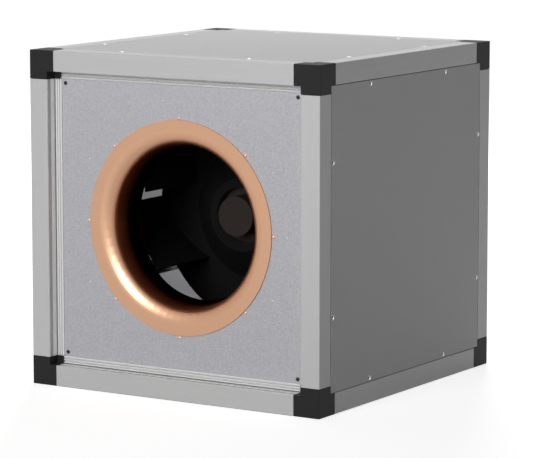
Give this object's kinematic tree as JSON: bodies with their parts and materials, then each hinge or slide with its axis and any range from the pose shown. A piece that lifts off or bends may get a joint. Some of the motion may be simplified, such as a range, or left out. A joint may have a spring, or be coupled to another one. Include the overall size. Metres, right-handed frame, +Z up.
{
  "type": "centrifugal box fan",
  "caption": "Cube-shaped box fan: aluminium profile frame, closed side panels, bell-mouth inlet and a backward-curved impeller on an external-rotor motor.",
  "frame": {"origin": "middle of the cube's bottom face, on the floor", "axes": "+Z up, -Y out of the inlet, +Y out of the discharge, +X to the right of someone who faces the inlet"},
  "size_m": [0.5, 0.5, 0.5],
  "materials": {
    "frame_aluminium": "mill finish extrusion, satin",
    "corner_plastic": "moulded polyamide, fine grain",
    "panel_sheet": "zinc-magnesium coated steel sheet, satin",
    "lining_sheet": "galvanised sheet, dull",
    "inlet_plate_sheet": "hot-dip galvanised sheet, fine spangle",
    "nozzle_copper": "copper-coloured satin metal",
    "impeller_black": "black coated sheet, satin",
    "motor_paint": "dark electro-coat, satin",
    "zinc_steel": "zinc plated sheet"
  },
  "bodies": {
    "casing": {"front_left_post": "frame_aluminium", "front_right_post": "frame_aluminium", "rear_left_post": "frame_aluminium", "rear_right_post": "frame_aluminium", "front_bottom_rail": "frame_aluminium", "front_top_rail": "frame_aluminium", "rear_bottom_rail": "frame_aluminium", "rear_top_rail": "frame_aluminium", "bottom_left_side_rail": "frame_aluminium", "bottom_right_side_rail": "frame_aluminium", "top_left_side_rail": "frame_aluminium", "top_right_side_rail": "frame_aluminium", "corner_front_bottom_left": "corner_plastic", "corner_front_bottom_right": "corner_plastic", "corner_front_top_left": "corner_plastic", "corner_front_top_right": "corner_plastic", "corner_rear_bottom_left": "corner_plastic", "corner_rear_bottom_right": "corner_plastic", "corner_rear_top_left": "corner_plastic", "corner_rear_top_right": "corner_plastic", "left_panel": "panel_sheet", "right_panel": "panel_sheet", "bottom_panel": "panel_sheet", "top_panel": "panel_sheet", "left_panel_lining": "lining_sheet", "right_panel_lining": "lining_sheet", "bottom_panel_lining": "lining_sheet", "top_panel_lining": "lining_sheet", "inlet_plate": "inlet_plate_sheet", "inlet_nozzle": "nozzle_copper", "motor_flange": "motor_paint", "motor_cross": "zinc_steel", "motor_strut_1": "zinc_steel", "motor_strut_2": "zinc_steel", "motor_strut_3": "zinc_steel", "motor_strut_4": "zinc_steel"},
    "impeller": {"impeller_shroud": "impeller_black", "impeller_backplate": "impeller_black", "impeller_blade_1": "impeller_black", "impeller_blade_2": "impeller_black", "impeller_blade_3": "impeller_black", "impeller_blade_4": "impeller_black", "impeller_blade_5": "impeller_black", "impeller_blade_6": "impeller_black", "motor_rotor": "motor_paint"}
  },
  "joints": [
    {"name": "impeller_spin", "type": "hinge", "parent": "casing", "child": "impeller", "pos_m": [0, 0, 0.25], "axis": [0, 1, 0], "continuous": true}
  ]
}
